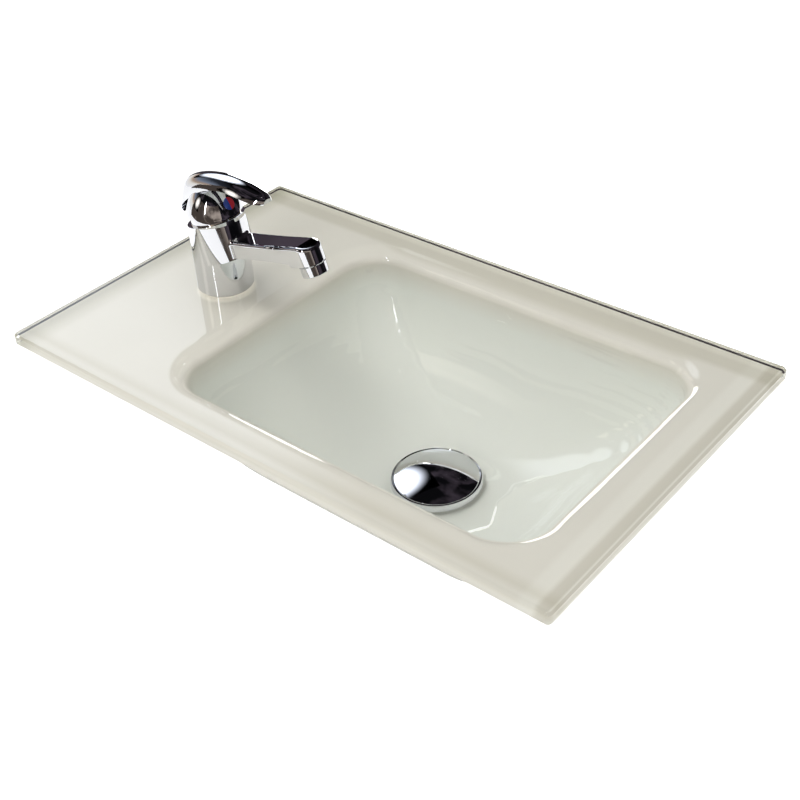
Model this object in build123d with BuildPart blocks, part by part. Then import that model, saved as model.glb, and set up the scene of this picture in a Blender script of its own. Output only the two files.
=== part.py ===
from build123d import *
import math
import os

# Washbasin: a glass slab with a slumped bowl, a single-lever mixer and a push-button waste.
# Millimetres. The origin is the centre of the slab's lacquered back, +Z up, +Y towards the wall,
# and the mixer stands at the slab's -X end.
os.makedirs("parts", exist_ok=True)

# Slab and lacquer
slab_length = 500.0
slab_width = 300.0
glass_thickness = 10.0
lacquer_thickness = 0.5
slab_corner_radius = 4.0
edge_arris = 1.5
top_z = glass_thickness + lacquer_thickness
glass_back_z = lacquer_thickness

# Bowl
bowl_x = 46.8
bowl_half_length = 156.0
bowl_half_width = 113.0
rim_radius = 15.0
bowl_depth = 105.0
bowl_fullness = 1.8
bowl_corner_radius = 32.0
floor_half_width = 40.0
floor_corner_radius = 39.0
wall_thickness = 5.0
floor_thickness = 5.0
back_fillet = 4.5
pick_band = 0.1
wall_start_depth = rim_radius + 1.0
bowl_level_angles = (0, 13, 27, 41, 55, 68, 80, 90)
floor_z = top_z - bowl_depth
floor_back_z = floor_z - floor_thickness

# Holes in the glass and the bare rings that the lacquer leaves round them
tap_inset = 84.0
tap_x = tap_inset - slab_length / 2
tap_hole_radius = 17.5
tap_bare_radius = 25.0
drain_hole_radius = 23.0
drain_bare_radius = 36.0

# Waste
tail_radius = 20.955
tail_reach = 60.5
tail_bottom_z = floor_z - tail_reach
tail_chamfer = 1.0
tail_thread_length = 37.0
runout_width = 2.0
runout_depth = 1.0
flange_radius = 36.0
flange_ring_width = 2.2
flange_height = 4.1
flange_plate = 1.6
flange_edge = 0.4
flange_lift = 0.3
ring_roll_radius = 6.0
ring_land = 1.0
ring_break = 0.3
flange_gasket_thickness = 1.5
gasket_margin = 1.0
waste_bore_radius = 18.0
seat_inner_radius = 20.4
cone_depth = 5.0
spider_depth = 9.5
spider_top_z = floor_z - spider_depth
spider_height = 8.0
spider_hub_radius = 10.5
spider_arm_width = 3.0
spider_arm_count = 4
spider_bite = 1.0
barrel_radius = 7.0
barrel_bore_radius = 5.3
barrel_flange_radius = 9.5
barrel_flange_thickness = 3.0
barrel_length = 32.0
barrel_floor = 2.0
barrel_drain_radius = 1.5
latch_height = 5.0
latch_recess = 0.5
latch_play = 0.7
latch_web = 0.4
latch_tooth_count = 8
latch_tooth_gap = 1.4
stem_radius = 3.0
stem_tail = 4.0
stem_tail_step = 0.4
collar_radius = 4.9
collar_height = 3.0
collar_play = 0.5
spring_wire_radius = 0.45
spring_radius = 4.3
spring_turns = 5
plug_lift = 7.0
plug_crown = 4.2
plug_edge_height = 1.6
plug_gap = 0.45
plug_edge_chamfer = 0.5
plug_rim_fillet = 0.7
cap_boss_radius = 6.0
cap_boss_length = 7.75
stem_bite = 0.5
seal_width = 4.5
seal_height = 1.8
seal_groove = 0.7
seal_margin = 1.8
seal_squeeze_gap = 0.05
nut_across_flats = 52.0
nut_corner_angle = 30.0
nut_corner_margin = 0.5
back_nut_height = 8.0
lower_seal_thickness = 5.0
lower_seal_radius = 31.0
lower_seal_taper = 2.0
slip_washer_thickness = 1.5
slip_play = 0.3

# Mixer body
column_radius = 23.0
column_gap = 0.6
foot_chamfer = 0.4
base_seal_inner = 18.6
base_seal_outer = 22.0
base_seal_thickness = 1.6
pivot_height = 60.0
pivot_z = top_z + pivot_height
cartridge_lean = 15.0
spout_rise = 16.5
spout_root_reach = 16.0
spout_root_x = tap_x + spout_root_reach
spout_root_height = 32.0
spout_half_width = 11.0
spout_under_height = 27.6
spout_under_middle = (59.0, 45.2)
spout_under_end = (87.5, 51.2)
spout_top_height = 44.0
spout_top_start = (16.0, 48.0)
spout_top_middle = (60.0, 58.2)
spout_top_end = (95.0, 67.6)
spout_bore_radius = 4.0
spout_bore_height = 42.9
spout_top_fillet = 2.5
root_fillet = 2.5
root_pick_start = 2.0
root_pick_reach = 16.0
root_pick_rise = 8.0
top_pick_drop = 1.0
fillet_play = 0.1
nozzle_lean = 20.0
nozzle_reach = 104.3
nozzle_x = tap_x + nozzle_reach
nozzle_height = 44.5
nozzle_z = top_z + nozzle_height
nose_height = 21.5
collar_length = 8.5
collar_groove = 0.8
collar_chamfer = 0.5
collar_lip_width = 1.2
aerator_radius = 10.5
spigot_radius = 9.3
spigot_bottom = 5.2
nozzle_bore_radius = 6.0
nozzle_bore_depth = 13.0
collar_lip = 1.0
insert_radius = 9.0
insert_height = 3.2
duct_count = 5
duct_pitch = 2.4
duct_size = 1.7
aerator_gasket_step = 0.8

# Cartridge, heights from the pivot along its leaning axis
chamber_radius = 17.75
chamber_depth = 28.0
thread_radius = 20.0
thread_depth = 8.0
housing_radius = 17.5
housing_bore = 15.3
housing_wall = 2.5
neck_radius = 13.5
neck_bore = 11.2
neck_top = 2.0
base_plate_top = -23.5
disc_radius = 14.8
fixed_disc_top = -20.0
disc_film = 0.05
moving_disc_radius = 12.0
moving_disc_top = -16.5
carrier_plate_top = -13.5
carrier_boss_top = -11.4
rotor_flange_bottom = -12.3
rotor_top = 4.5
spindle_arm = 12.5
spindle_half = 3.5
spindle_top = 25.0
ball_radius = 2.5
pin_radius = 1.5
port_radius = 3.0
port_u = 5.0
port_v = 6.5
port_seal_radius = 4.6
port_seal_depth = 1.6
port_seal_rise = 0.8
window_height = -20.5
window_width = 12.0
window_slot = 5.0
outlet_slot_length = 10.5
outlet_slot_width = 4.5
outlet_slot_depth = 1.5
mixing_hollow_radius = 7.5
mixing_hollow_depth = 1.6
mixing_hollow_shift = 3.0
ball_play = 0.3
pocket_depth = 4.3
carrier_block_length = 10.0
carrier_play = 0.3
rotor_flange_radius = 14.9
rotor_slot_half = 4.2
rotor_slot_length = 8.6
spindle_neck_radius = 1.8
cover_radius = 19.8
cover_wall = 1.2
cover_top = 10.0
nut_hex_flats = 29.0
nut_hex_height = 5.0
neck_play = 0.1

# Lever: the strap's spine as (x, height over the slab) and its stations as
# (share of the spine, height of the crown, half width)
hub_lean = 6.5
hub_radius = 23.3
hub_height = 32.0
hub_centre = -2.0
skirt_height = 6.0
cavity_radius = 20.4
cavity_ceiling = 14.5
boss_radius = 10.0
boss_bottom = 11.5
mark_height = 15.0
mark_radius = 5.0
mark_depth = 2.0
grub_radius = 2.5
grub_length = 8.0
strap_back = (-22.6, 63.4)
strap_shoulder = (-13.5, 78.5)
strap_arch = (6.0, 89.4)
strap_crest = (25.0, 93.8)
strap_tip = (61.0, 90.0)
strap_back_slope = (-0.1, 1.0)
strap_tip_slope = (1.0, -0.12)
strap_stations = (
    (0.0, 10.0, 12.0),
    (0.13, 12.6, 12.0),
    (0.3, 13.0, 12.0),
    (0.45, 10.0, 12.0),
    (0.6, 8.0, 12.0),
    (0.75, 7.0, 11.8),
    (0.88, 6.4, 10.4),
    (0.96, 5.4, 7.6),
    (1.0, 3.6, 4.4),
)

# Mixer fixing
stud_offset = 10.0
stud_radius = 4.0
stud_bottom_z = -24.0
stud_bite = 13.0
stud_chamfer = 0.6
inlet_offset = -6.0
inlet_spacing = 8.0
inlet_radius = 5.0
inlet_depth = 14.0
waterway_radius = 3.0
horseshoe_radius = 22.5
horseshoe_slot_half = 15.0
horseshoe_slot_end = 3.5
rubber_washer_thickness = 3.0
steel_washer_thickness = 2.0
stud_nut_flats = 13.0
stud_nut_height = 6.5
washer_play = 0.3
thread_play = 0.03
running_play = 0.05
drill_past = 1.0


def leaning(lean, height=0.0):
    """Plane across an axis that leans back from the pivot, at a height along that axis."""
    angle = math.radians(lean)
    across = Vector(math.cos(angle), 0, math.sin(angle))
    along = Vector(-math.sin(angle), 0, math.cos(angle))
    return Plane(origin=Vector(tap_x, 0, pivot_z) + along * height, x_dir=across, z_dir=along)


def side_view(plane):
    """Plane through the same origin whose Y runs along the first plane's axis."""
    return Plane(origin=plane.origin, x_dir=plane.x_dir, z_dir=(0, -1, 0))


def bowl_level(angle, wall, floor):
    """Depth, half length, half width and corner radius of one level of the bowl."""
    across = max(math.cos(math.radians(angle)), 0.0) ** (2 / bowl_fullness)
    down = math.sin(math.radians(angle)) ** (2 / bowl_fullness)
    grow = floor + (wall - floor) * across
    half_length = floor_half_width + (bowl_half_length - floor_half_width) * across + grow
    half_width = floor_half_width + (bowl_half_width - floor_half_width) * across + grow
    corner = floor_corner_radius + (bowl_corner_radius - floor_corner_radius) * across + grow
    depth = wall_start_depth + (bowl_depth + floor - wall_start_depth) * down
    return depth, half_length, half_width, corner


# The outside of the glass: slab, bowl and the fillet where the one runs into the other
with BuildPart() as glass_blank:
    with BuildSketch(Plane.XY.offset(glass_back_z)):
        RectangleRounded(slab_length, slab_width, slab_corner_radius)
    extrude(amount=glass_thickness)
    start_depth, start_length, start_width, start_corner = bowl_level(0, wall_thickness, floor_thickness)
    with BuildSketch(Plane(origin=(bowl_x, 0, top_z - start_depth))):
        RectangleRounded(2 * start_length, 2 * start_width, start_corner)
    extrude(amount=start_depth - glass_thickness / 2)
    for level_angle in bowl_level_angles:
        level_depth, half_length, half_width, corner = bowl_level(level_angle, wall_thickness, floor_thickness)
        with BuildSketch(Plane(origin=(bowl_x, 0, top_z - level_depth))):
            RectangleRounded(2 * half_length, 2 * half_width, corner)
    loft()
    back_face = glass_blank.faces().filter_by(Plane.XY).sort_by(Axis.Z).filter_by_position(
        Axis.Z, glass_back_z - pick_band, glass_back_z + pick_band
    )[0]
    fillet(back_face.inner_wires()[0].edges(), back_fillet)

# Glass basin: one sheet of clear glass slumped into a mould, then drilled and edge-ground
with BuildPart() as glass_basin:
    add(glass_blank.part)
    start_depth, start_length, start_width, start_corner = bowl_level(0, 0, 0)
    with BuildSketch(Plane(origin=(bowl_x, 0, top_z - start_depth))):
        RectangleRounded(2 * start_length, 2 * start_width, start_corner)
    extrude(amount=start_depth, mode=Mode.SUBTRACT)
    for level_angle in bowl_level_angles:
        level_depth, half_length, half_width, corner = bowl_level(level_angle, 0, 0)
        with BuildSketch(Plane(origin=(bowl_x, 0, top_z - level_depth))):
            RectangleRounded(2 * half_length, 2 * half_width, corner)
    loft(mode=Mode.SUBTRACT)
    top_face = glass_basin.faces().filter_by(Plane.XY).sort_by(Axis.Z)[-1]
    fillet(top_face.inner_wires()[0].edges(), rim_radius)
    top_face = glass_basin.faces().filter_by(Plane.XY).sort_by(Axis.Z)[-1]
    chamfer(top_face.outer_wire().edges(), edge_arris)
    back_face = glass_basin.faces().filter_by(Plane.XY).filter_by_position(
        Axis.Z, glass_back_z - pick_band, glass_back_z + pick_band
    )[0]
    chamfer(back_face.outer_wire().edges(), edge_arris)
    with Locations((tap_x, 0, top_z)):
        Hole(tap_hole_radius, depth=2 * glass_thickness)
    with Locations((bowl_x, 0, floor_z)):
        Hole(drain_hole_radius, depth=2 * floor_thickness)
glass_basin.part.label = "glass_basin"
export_step(glass_basin.part, "parts/glass_basin.step")

# Lacquer: an even coat on the back of slab and bowl, masked off where the clamps bear
with BuildPart() as back_lacquer:
    with BuildSketch():
        RectangleRounded(slab_length - 2 * edge_arris, slab_width - 2 * edge_arris, slab_corner_radius)
    extrude(amount=lacquer_thickness)
    coat_wall = wall_thickness + lacquer_thickness
    coat_floor = floor_thickness + lacquer_thickness
    start_depth, start_length, start_width, start_corner = bowl_level(0, coat_wall, coat_floor)
    with BuildSketch(Plane(origin=(bowl_x, 0, top_z - start_depth))):
        RectangleRounded(2 * start_length, 2 * start_width, start_corner)
    extrude(amount=start_depth - top_z + lacquer_thickness)
    for level_angle in bowl_level_angles:
        level_depth, half_length, half_width, corner = bowl_level(level_angle, coat_wall, coat_floor)
        with BuildSketch(Plane(origin=(bowl_x, 0, top_z - level_depth))):
            RectangleRounded(2 * half_length, 2 * half_width, corner)
    loft()
    back_face = back_lacquer.faces().filter_by(Plane.XY).filter_by_position(Axis.Z, -pick_band, pick_band)[0]
    fillet(back_face.inner_wires()[0].edges(), back_fillet - lacquer_thickness)
    add(glass_blank.part, mode=Mode.SUBTRACT)
    with Locations((tap_x, 0, lacquer_thickness)):
        Hole(tap_bare_radius, depth=2 * lacquer_thickness)
    with Locations((bowl_x, 0, floor_back_z)):
        Hole(drain_bare_radius, depth=2 * lacquer_thickness)
back_lacquer.part.label = "back_lacquer"
export_step(back_lacquer.part, "parts/back_lacquer.step")

# Flange gasket: flat seal in the recess under the waste's flange
gasket_top = floor_z + flange_gasket_thickness
with BuildPart() as waste_flange_gasket:
    with BuildSketch(Plane(origin=(bowl_x, 0, floor_z))):
        Circle(flange_radius - flange_ring_width)
        Circle(drain_hole_radius + gasket_margin, mode=Mode.SUBTRACT)
    extrude(amount=flange_gasket_thickness)
waste_flange_gasket.part.label = "waste_flange_gasket"
export_step(waste_flange_gasket.part, "parts/waste_flange_gasket.step")

# Waste body: turned flange with a raised ring, seat, cone, threaded tail and a four-armed spider;
# a runout groove parts the trap's thread from the back nut's
ring_top = gasket_top + flange_height
seat_z = gasket_top + flange_plate
ring_inner = flange_radius - flange_ring_width
flange_bottom = floor_z + flange_lift
thread_top = tail_bottom_z + tail_chamfer + tail_thread_length
waste_axis = Axis((bowl_x, 0, 0), (0, 0, 1))
waste_side = Plane(origin=(bowl_x, 0, 0), x_dir=(1, 0, 0), z_dir=(0, -1, 0))
with BuildPart() as waste_body:
    with BuildSketch(waste_side):
        with BuildLine():
            Polyline(
                (waste_bore_radius, tail_bottom_z),
                (tail_radius - tail_chamfer, tail_bottom_z),
                (tail_radius, tail_bottom_z + tail_chamfer),
                (tail_radius, thread_top),
                (tail_radius - runout_depth, thread_top),
                (tail_radius - runout_depth, thread_top + runout_width),
                (tail_radius, thread_top + runout_width),
                (tail_radius, gasket_top),
                (ring_inner, gasket_top),
                (ring_inner, flange_bottom),
                (flange_radius - flange_edge, flange_bottom),
            )
            flange_lip = (flange_radius - flange_edge, flange_bottom)
            RadiusArc(flange_lip, (ring_inner + ring_land, ring_top), -ring_roll_radius)
            Polyline(
                (ring_inner + ring_land, ring_top),
                (ring_inner + ring_break, ring_top),
                (ring_inner, ring_top - ring_break),
                (ring_inner, seat_z),
                (seat_inner_radius, seat_z),
                (waste_bore_radius, seat_z - cone_depth),
                (waste_bore_radius, tail_bottom_z),
            )
        make_face()
    revolve(axis=waste_axis)
    with BuildSketch(Plane(origin=(bowl_x, 0, spider_top_z - spider_height))):
        Circle(spider_hub_radius)
        with PolarLocations(waste_bore_radius / 2, spider_arm_count):
            Rectangle(waste_bore_radius + spider_bite, spider_arm_width)
    extrude(amount=spider_height)
    with Locations((bowl_x, 0, spider_top_z)):
        Hole(barrel_radius + thread_play, depth=spider_height)
waste_body.part.label = "waste_body"
export_step(waste_body.part, "parts/waste_body.step")

# Lower seal: tapered rubber ring under the glass
with BuildPart() as waste_lower_seal:
    with BuildSketch(waste_side):
        with BuildLine():
            Polyline(
                (tail_radius + slip_play, floor_back_z),
                (lower_seal_radius, floor_back_z),
                (lower_seal_radius - lower_seal_taper, floor_back_z - lower_seal_thickness),
                (tail_radius + slip_play, floor_back_z - lower_seal_thickness),
                close=True,
            )
        make_face()
    revolve(axis=waste_axis)
waste_lower_seal.part.label = "waste_lower_seal"
export_step(waste_lower_seal.part, "parts/waste_lower_seal.step")

# Slip washer between the seal and the nut
slip_washer_z = floor_back_z - lower_seal_thickness - slip_washer_thickness
with BuildPart() as waste_slip_washer:
    with BuildSketch(Plane(origin=(bowl_x, 0, slip_washer_z))):
        Circle(lower_seal_radius - lower_seal_taper)
        Circle(tail_radius + slip_play, mode=Mode.SUBTRACT)
    extrude(amount=slip_washer_thickness)
waste_slip_washer.part.label = "waste_slip_washer"
export_step(waste_slip_washer.part, "parts/waste_slip_washer.step")

# Back nut: flat hexagon nut on the tail, its corners turned off
back_nut_z = slip_washer_z - back_nut_height
with BuildPart() as waste_back_nut:
    with BuildSketch(Plane(origin=(bowl_x, 0, back_nut_z))):
        RegularPolygon(nut_across_flats / 2, 6, major_radius=False)
        Circle(tail_radius + thread_play, mode=Mode.SUBTRACT)
    extrude(amount=back_nut_height)
    with BuildSketch(Plane(origin=(bowl_x, 0, back_nut_z))):
        Circle(nut_across_flats / 2 + nut_corner_margin)
    extrude(amount=back_nut_height, taper=-nut_corner_angle, mode=Mode.INTERSECT)
waste_back_nut.part.label = "waste_back_nut"
export_step(waste_back_nut.part, "parts/waste_back_nut.step")

# Click barrel: flanged sleeve screwed into the spider, closed below but for a drain hole
barrel_top = spider_top_z + barrel_flange_thickness
barrel_bottom = spider_top_z + barrel_flange_thickness - barrel_length
with BuildPart() as click_barrel:
    with BuildSketch(Plane(origin=(bowl_x, 0, barrel_bottom))):
        Circle(barrel_radius)
    extrude(amount=barrel_length)
    with BuildSketch(Plane(origin=(bowl_x, 0, spider_top_z))):
        Circle(barrel_flange_radius)
    extrude(amount=barrel_flange_thickness)
    with Locations((bowl_x, 0, barrel_top)):
        Hole(barrel_bore_radius, depth=barrel_length - barrel_floor)
        Hole(barrel_drain_radius, depth=barrel_length)
click_barrel.part.label = "click_barrel"
export_step(click_barrel.part, "parts/click_barrel.step")

# Latch ring: sleeve in the barrel's mouth with a crown of sloping teeth below
latch_top = barrel_top - latch_recess
latch_bore = stem_radius + latch_play
with BuildPart() as click_latch_ring:
    with BuildSketch(Plane(origin=(bowl_x, 0, latch_top - latch_height))):
        Circle(barrel_bore_radius)
        Circle(latch_bore, mode=Mode.SUBTRACT)
    extrude(amount=latch_height)
    with BuildSketch(Plane(origin=(bowl_x, 0, latch_top - latch_height))):
        with PolarLocations(barrel_bore_radius, latch_tooth_count):
            Rectangle(2 * (barrel_bore_radius - latch_bore - latch_web), latch_tooth_gap)
    extrude(amount=latch_height / 2, mode=Mode.SUBTRACT)
click_latch_ring.part.label = "click_latch_ring"
export_step(click_latch_ring.part, "parts/click_latch_ring.step")

# Plug cap: turned brass cap with a low dome, a groove for the seal and a boss for the stem
seal_outer = ring_inner - seal_margin
seal_inner = seal_outer - seal_width
cap_radius = ring_inner - plug_gap
cap_under = seat_z + seal_squeeze_gap + seal_height - seal_groove
cap_edge_top = cap_under + plug_edge_height
cap_boss_bottom = cap_under - cap_boss_length
stem_top = cap_edge_top + stem_bite
with BuildPart() as plug_cap:
    with BuildSketch(waste_side):
        with BuildLine():
            Polyline(
                (0, cap_edge_top + plug_crown),
                (0, cap_boss_bottom),
                (cap_boss_radius, cap_boss_bottom),
                (cap_boss_radius, cap_under),
                (seal_inner, cap_under),
                (seal_inner, cap_under + seal_groove),
                (seal_outer, cap_under + seal_groove),
                (seal_outer, cap_under),
                (cap_radius - plug_edge_chamfer, cap_under),
                (cap_radius, cap_under + plug_edge_chamfer),
                (cap_radius, cap_edge_top),
            )
            crown_radius = (cap_radius**2 + plug_crown**2) / (2 * plug_crown)
            RadiusArc((cap_radius, cap_edge_top), (0, cap_edge_top + plug_crown), -crown_radius)
        make_face()
    revolve(axis=waste_axis)
    rim = plug_cap.edges().filter_by(GeomType.CIRCLE).filter_by_position(
        Axis.Z, cap_edge_top - pick_band, cap_edge_top + pick_band
    )
    fillet(rim, plug_rim_fillet)
    with BuildSketch(Plane(origin=(bowl_x, 0, cap_boss_bottom))):
        Circle(stem_radius)
    extrude(amount=stem_top - cap_boss_bottom, mode=Mode.SUBTRACT)
plug_cap.part.label = "plug_cap"
export_step(plug_cap.part, "parts/plug_cap.step")

# Plug seal: ring in the cap's groove
with BuildPart() as plug_seal:
    with BuildSketch(Plane(origin=(bowl_x, 0, seat_z + seal_squeeze_gap))):
        Circle(seal_outer)
        Circle(seal_inner, mode=Mode.SUBTRACT)
    extrude(amount=seal_height)
plug_seal.part.label = "plug_seal"
export_step(plug_seal.part, "parts/plug_seal.step")

# Plug stem: threaded into the cap, with a collar that pushes the spring and a short tail
collar_top = latch_top - latch_height - plug_lift - collar_play
collar_bottom = collar_top - collar_height
with BuildPart() as plug_stem:
    with BuildSketch(Plane(origin=(bowl_x, 0, collar_bottom))):
        Circle(stem_radius)
    extrude(amount=stem_top - collar_bottom)
    with BuildSketch(Plane(origin=(bowl_x, 0, collar_bottom))):
        Circle(collar_radius)
    extrude(amount=collar_height)
    with BuildSketch(Plane(origin=(bowl_x, 0, collar_bottom))):
        Circle(stem_radius - stem_tail_step)
    extrude(amount=-stem_tail)
plug_stem.part.label = "plug_stem"
export_step(plug_stem.part, "parts/plug_stem.step")

# Click spring: compression spring between the barrel's floor and the collar
spring_bottom = barrel_bottom + barrel_floor
spring_length = collar_bottom - spring_bottom - 2 * spring_wire_radius
with BuildPart() as click_spring:
    with BuildLine(Plane(origin=(bowl_x, 0, spring_bottom + spring_wire_radius))) as spring_path:
        Helix(pitch=spring_length / spring_turns, height=spring_length, radius=spring_radius)
    with BuildSketch(Plane(origin=spring_path.line @ 0, z_dir=spring_path.line % 0)):
        Circle(spring_wire_radius)
    sweep(path=spring_path.line)
click_spring.part.label = "click_spring"
export_step(click_spring.part, "parts/click_spring.step")

# Head of the mixer: a cylinder that leans back with the cartridge, cut off under the spout
head_plane = leaning(cartridge_lean)
column_base_z = top_z + column_gap
spout_root_z = top_z + spout_root_height
rise = math.radians(spout_rise)
under_plane = Plane(
    origin=(spout_root_x, 0, spout_root_z),
    x_dir=(math.cos(rise), 0, math.sin(rise)),
    z_dir=(-math.sin(rise), 0, math.cos(rise)),
)
with BuildPart() as mixer_head:
    with BuildSketch(head_plane):
        Circle(column_radius)
    extrude(amount=-2 * column_radius)
    split(bisect_by=under_plane, keep=Keep.TOP)

# Spout of the mixer: a rising arm with flat flanks and a round nose about the nozzle's axis
nozzle_angle = math.radians(nozzle_lean)
nozzle_plane = Plane(
    origin=(nozzle_x, 0, nozzle_z),
    x_dir=(math.cos(nozzle_angle), 0, math.sin(nozzle_angle)),
    z_dir=(-math.sin(nozzle_angle), 0, math.cos(nozzle_angle)),
)
nozzle_face = collar_length + collar_groove
nozzle_back = nozzle_plane.from_local_coords((-spout_half_width, 0, nozzle_face))
nozzle_front = nozzle_plane.from_local_coords((spout_half_width, 0, nozzle_face))
nose_top = nozzle_plane.from_local_coords((spout_half_width, 0, nose_height))
with BuildPart() as mixer_spout:
    with BuildSketch(Plane(origin=(tap_x, 0, top_z), x_dir=(1, 0, 0), z_dir=(0, -1, 0))):
        with BuildLine():
            ThreePointArc((0, spout_under_height), spout_under_middle, spout_under_end)
            Polyline(
                spout_under_end,
                (nozzle_back.X - tap_x, nozzle_back.Z - top_z),
                (nozzle_front.X - tap_x, nozzle_front.Z - top_z),
                (nose_top.X - tap_x, nose_top.Z - top_z),
                spout_top_end,
            )
            ThreePointArc(spout_top_end, spout_top_middle, spout_top_start)
            Polyline(spout_top_start, (0, spout_top_height), (0, spout_under_height))
        make_face()
    extrude(amount=spout_half_width, both=True)
    nose_edges = mixer_spout.edges().filter_by(lambda edge: edge.center().X > nozzle_x - spout_half_width / 2)
    nose_edges = nose_edges.filter_by(Axis((0, 0, 0), tuple(nozzle_plane.z_dir)))
    fillet(nose_edges, spout_half_width - fillet_play)
    top_edges = mixer_spout.edges().filter_by(
        lambda edge: edge.length > spout_half_width
        and edge.center().Z > top_z + (spout_top_start[1] + spout_top_end[1]) / 2 - top_pick_drop
        and abs(edge.center().Y) > spout_half_width / 2
    )
    fillet(top_edges, spout_top_fillet)

# Mixer body: upright column, leaning head and spout in one casting, bored for the cartridge,
# the mixed water and the two inlets
axis_plane = side_view(head_plane)
with BuildPart() as tap_body:
    with BuildSketch(Plane(origin=(tap_x, 0, column_base_z))):
        Circle(column_radius)
    extrude(amount=pivot_z - column_base_z + column_radius)
    add(mixer_head.part)
    split(bisect_by=head_plane, keep=Keep.BOTTOM)
    add(mixer_spout.part)
    root_edges = tap_body.edges().filter_by(
        lambda edge: spout_root_x + root_pick_start < edge.center().X < spout_root_x + root_pick_reach
        and abs(edge.center().Y) < spout_half_width + pick_band
        and edge.center().Z > spout_root_z + root_pick_rise
    )
    fillet(root_edges, root_fillet)
    with BuildSketch(head_plane):
        Circle(chamber_radius)
    extrude(amount=-chamber_depth, mode=Mode.SUBTRACT)
    with BuildSketch(head_plane):
        Circle(thread_radius)
    extrude(amount=-thread_depth, mode=Mode.SUBTRACT)
    with BuildSketch(nozzle_plane.offset(nozzle_face)):
        Circle(2 * spout_half_width)
        Circle(spigot_radius, mode=Mode.SUBTRACT)
    extrude(amount=-nozzle_face, mode=Mode.SUBTRACT)
    with BuildSketch(nozzle_plane.offset(spigot_bottom)):
        Circle(spigot_radius)
    extrude(amount=nozzle_face - spigot_bottom)
    with BuildSketch(nozzle_plane.offset(spigot_bottom)):
        Circle(nozzle_bore_radius)
    extrude(amount=nozzle_bore_depth, mode=Mode.SUBTRACT)
    bore_start = Vector(tap_x + chamber_radius, 0, top_z + spout_bore_height)
    bore_end_height = spigot_bottom + nozzle_bore_depth - spout_bore_radius
    bore_end = nozzle_plane.from_local_coords(Vector(0, 0, bore_end_height))
    with BuildSketch(Plane(origin=bore_start, z_dir=bore_end - bore_start)):
        Circle(spout_bore_radius)
    extrude(amount=(bore_end - bore_start).length, mode=Mode.SUBTRACT)
    for side in (-1, 1):
        inlet = Vector(tap_x + inlet_offset, side * inlet_spacing, column_base_z)
        waterway_start = inlet + Vector(0, 0, inlet_depth - drill_past)
        port = head_plane.from_local_coords(Vector(-port_u, side * port_v, drill_past - chamber_depth))
        with BuildSketch(Plane(origin=inlet)):
            Circle(inlet_radius)
        extrude(amount=inlet_depth, mode=Mode.SUBTRACT)
        with BuildSketch(Plane(origin=waterway_start, z_dir=port - waterway_start)):
            Circle(waterway_radius)
        extrude(amount=(port - waterway_start).length, mode=Mode.SUBTRACT)
    with BuildSketch(Plane(origin=(tap_x + stud_offset, 0, column_base_z))):
        Circle(stud_radius + thread_play)
    extrude(amount=stud_bite + drill_past, mode=Mode.SUBTRACT)
    with BuildSketch(Plane(origin=(tap_x, 0, column_base_z))):
        Circle(base_seal_outer)
        Circle(base_seal_inner, mode=Mode.SUBTRACT)
    extrude(amount=base_seal_thickness - column_gap, mode=Mode.SUBTRACT)
    foot_edges = tap_body.edges().filter_by(GeomType.CIRCLE).filter_by(
        lambda edge: abs(edge.radius - column_radius) < pick_band
        and edge.center().Z < column_base_z + pick_band
    )
    chamfer(foot_edges, foot_chamfer)
tap_body.part.label = "tap_body"
export_step(tap_body.part, "parts/tap_body.step")

# Base seal: flat ring in the groove of the column's foot
with BuildPart() as tap_base_seal:
    with BuildSketch(Plane(origin=(tap_x, 0, top_z))):
        Circle(base_seal_outer)
        Circle(base_seal_inner, mode=Mode.SUBTRACT)
    extrude(amount=base_seal_thickness)
tap_base_seal.part.label = "tap_base_seal"
export_step(tap_base_seal.part, "parts/tap_base_seal.step")

# Aerator collar: chromed ring screwed on the nozzle's spigot, with a lip below
with BuildPart() as aerator_collar:
    with BuildSketch(nozzle_plane):
        Circle(aerator_radius)
    extrude(amount=collar_length)
    with BuildSketch(nozzle_plane):
        Circle(insert_radius - collar_lip_width)
    extrude(amount=collar_length, mode=Mode.SUBTRACT)
    with BuildSketch(nozzle_plane.offset(collar_lip)):
        Circle(spigot_radius)
    extrude(amount=collar_length, mode=Mode.SUBTRACT)
    rim_edges = aerator_collar.edges().filter_by(GeomType.CIRCLE).filter_by(
        lambda edge: abs(edge.radius - aerator_radius) < pick_band
    )
    chamfer(rim_edges, collar_chamfer)
aerator_collar.part.label = "aerator_collar"
export_step(aerator_collar.part, "parts/aerator_collar.step")

# Aerator insert: plastic jet former, a grid of square ducts under a perforated plate
with BuildPart() as aerator_insert:
    with BuildSketch(nozzle_plane.offset(collar_lip)):
        Circle(insert_radius)
    extrude(amount=insert_height)
    with BuildSketch(nozzle_plane.offset(collar_lip)):
        with GridLocations(duct_pitch, duct_pitch, duct_count, duct_count):
            Rectangle(duct_size, duct_size)
    extrude(amount=insert_height, mode=Mode.SUBTRACT)
aerator_insert.part.label = "aerator_insert"
export_step(aerator_insert.part, "parts/aerator_insert.step")

# Aerator gasket: ring squeezed between the insert and the spigot
with BuildPart() as aerator_gasket:
    with BuildSketch(nozzle_plane.offset(collar_lip + insert_height)):
        Circle(insert_radius)
        Circle(nozzle_bore_radius + aerator_gasket_step, mode=Mode.SUBTRACT)
    extrude(amount=spigot_bottom - collar_lip - insert_height)
aerator_gasket.part.label = "aerator_gasket"
export_step(aerator_gasket.part, "parts/aerator_gasket.step")

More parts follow.
